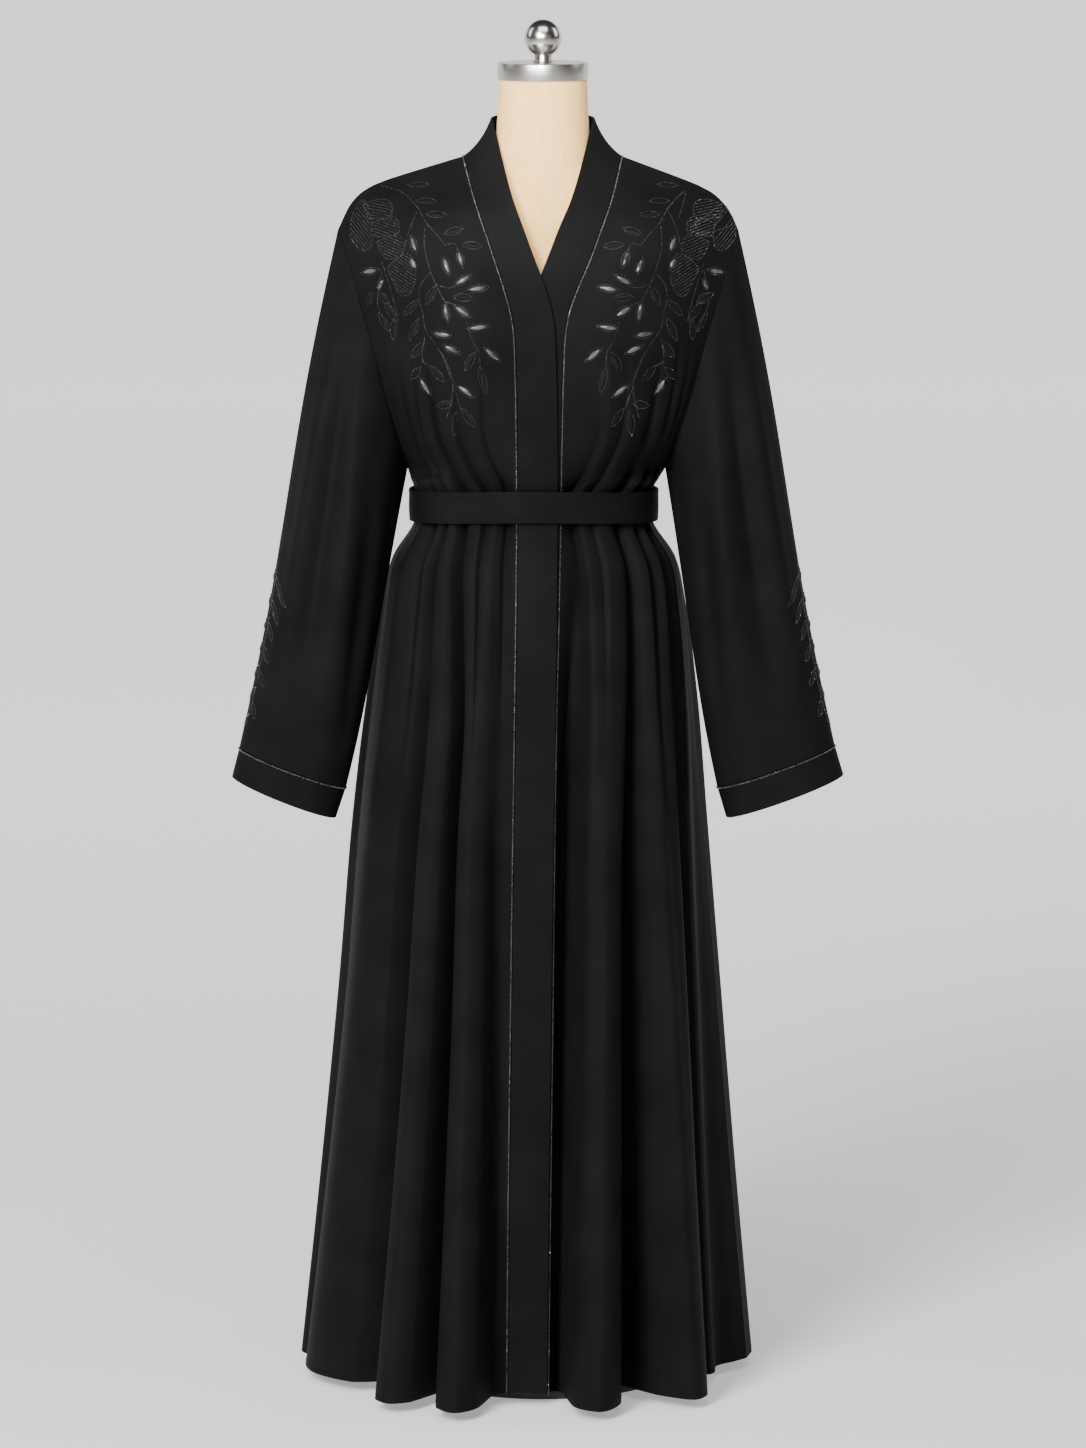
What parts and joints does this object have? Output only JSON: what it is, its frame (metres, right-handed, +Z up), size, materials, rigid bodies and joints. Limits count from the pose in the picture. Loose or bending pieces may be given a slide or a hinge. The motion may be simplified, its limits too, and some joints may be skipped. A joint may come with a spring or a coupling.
{
  "type": "abaya cloak on a dress form",
  "caption": "Long open-front belted cloak with plain bands, wide sleeves and a pleated skirt, worn by a limbless dress form on a pole and round base.",
  "frame": {"origin": "centre of the bounding box on the floor, under the base", "axes": "+Z up, -Y the cloak's front, +X the wearer's left"},
  "size_m": [0.694, 0.5226, 1.5525],
  "materials": {
    "black_crepe": "matt black crepe",
    "cream_linen": "cream linen over foam",
    "brushed_nickel": "brushed nickel",
    "black_steel": "satin black paint"
  },
  "bodies": {
    "root": {"front_right": "black_crepe", "front_left": "black_crepe", "back": "black_crepe", "band_right": "black_crepe", "band_left": "black_crepe", "sleeve_right": "black_crepe", "sleeve_left": "black_crepe", "cuff_right": "black_crepe", "cuff_left": "black_crepe", "belt": "black_crepe", "form_torso": "cream_linen", "neck_cap": "brushed_nickel", "neck_finial": "brushed_nickel", "stand_pole": "brushed_nickel", "stand_base": "black_steel"}
  },
  "joints": []
}
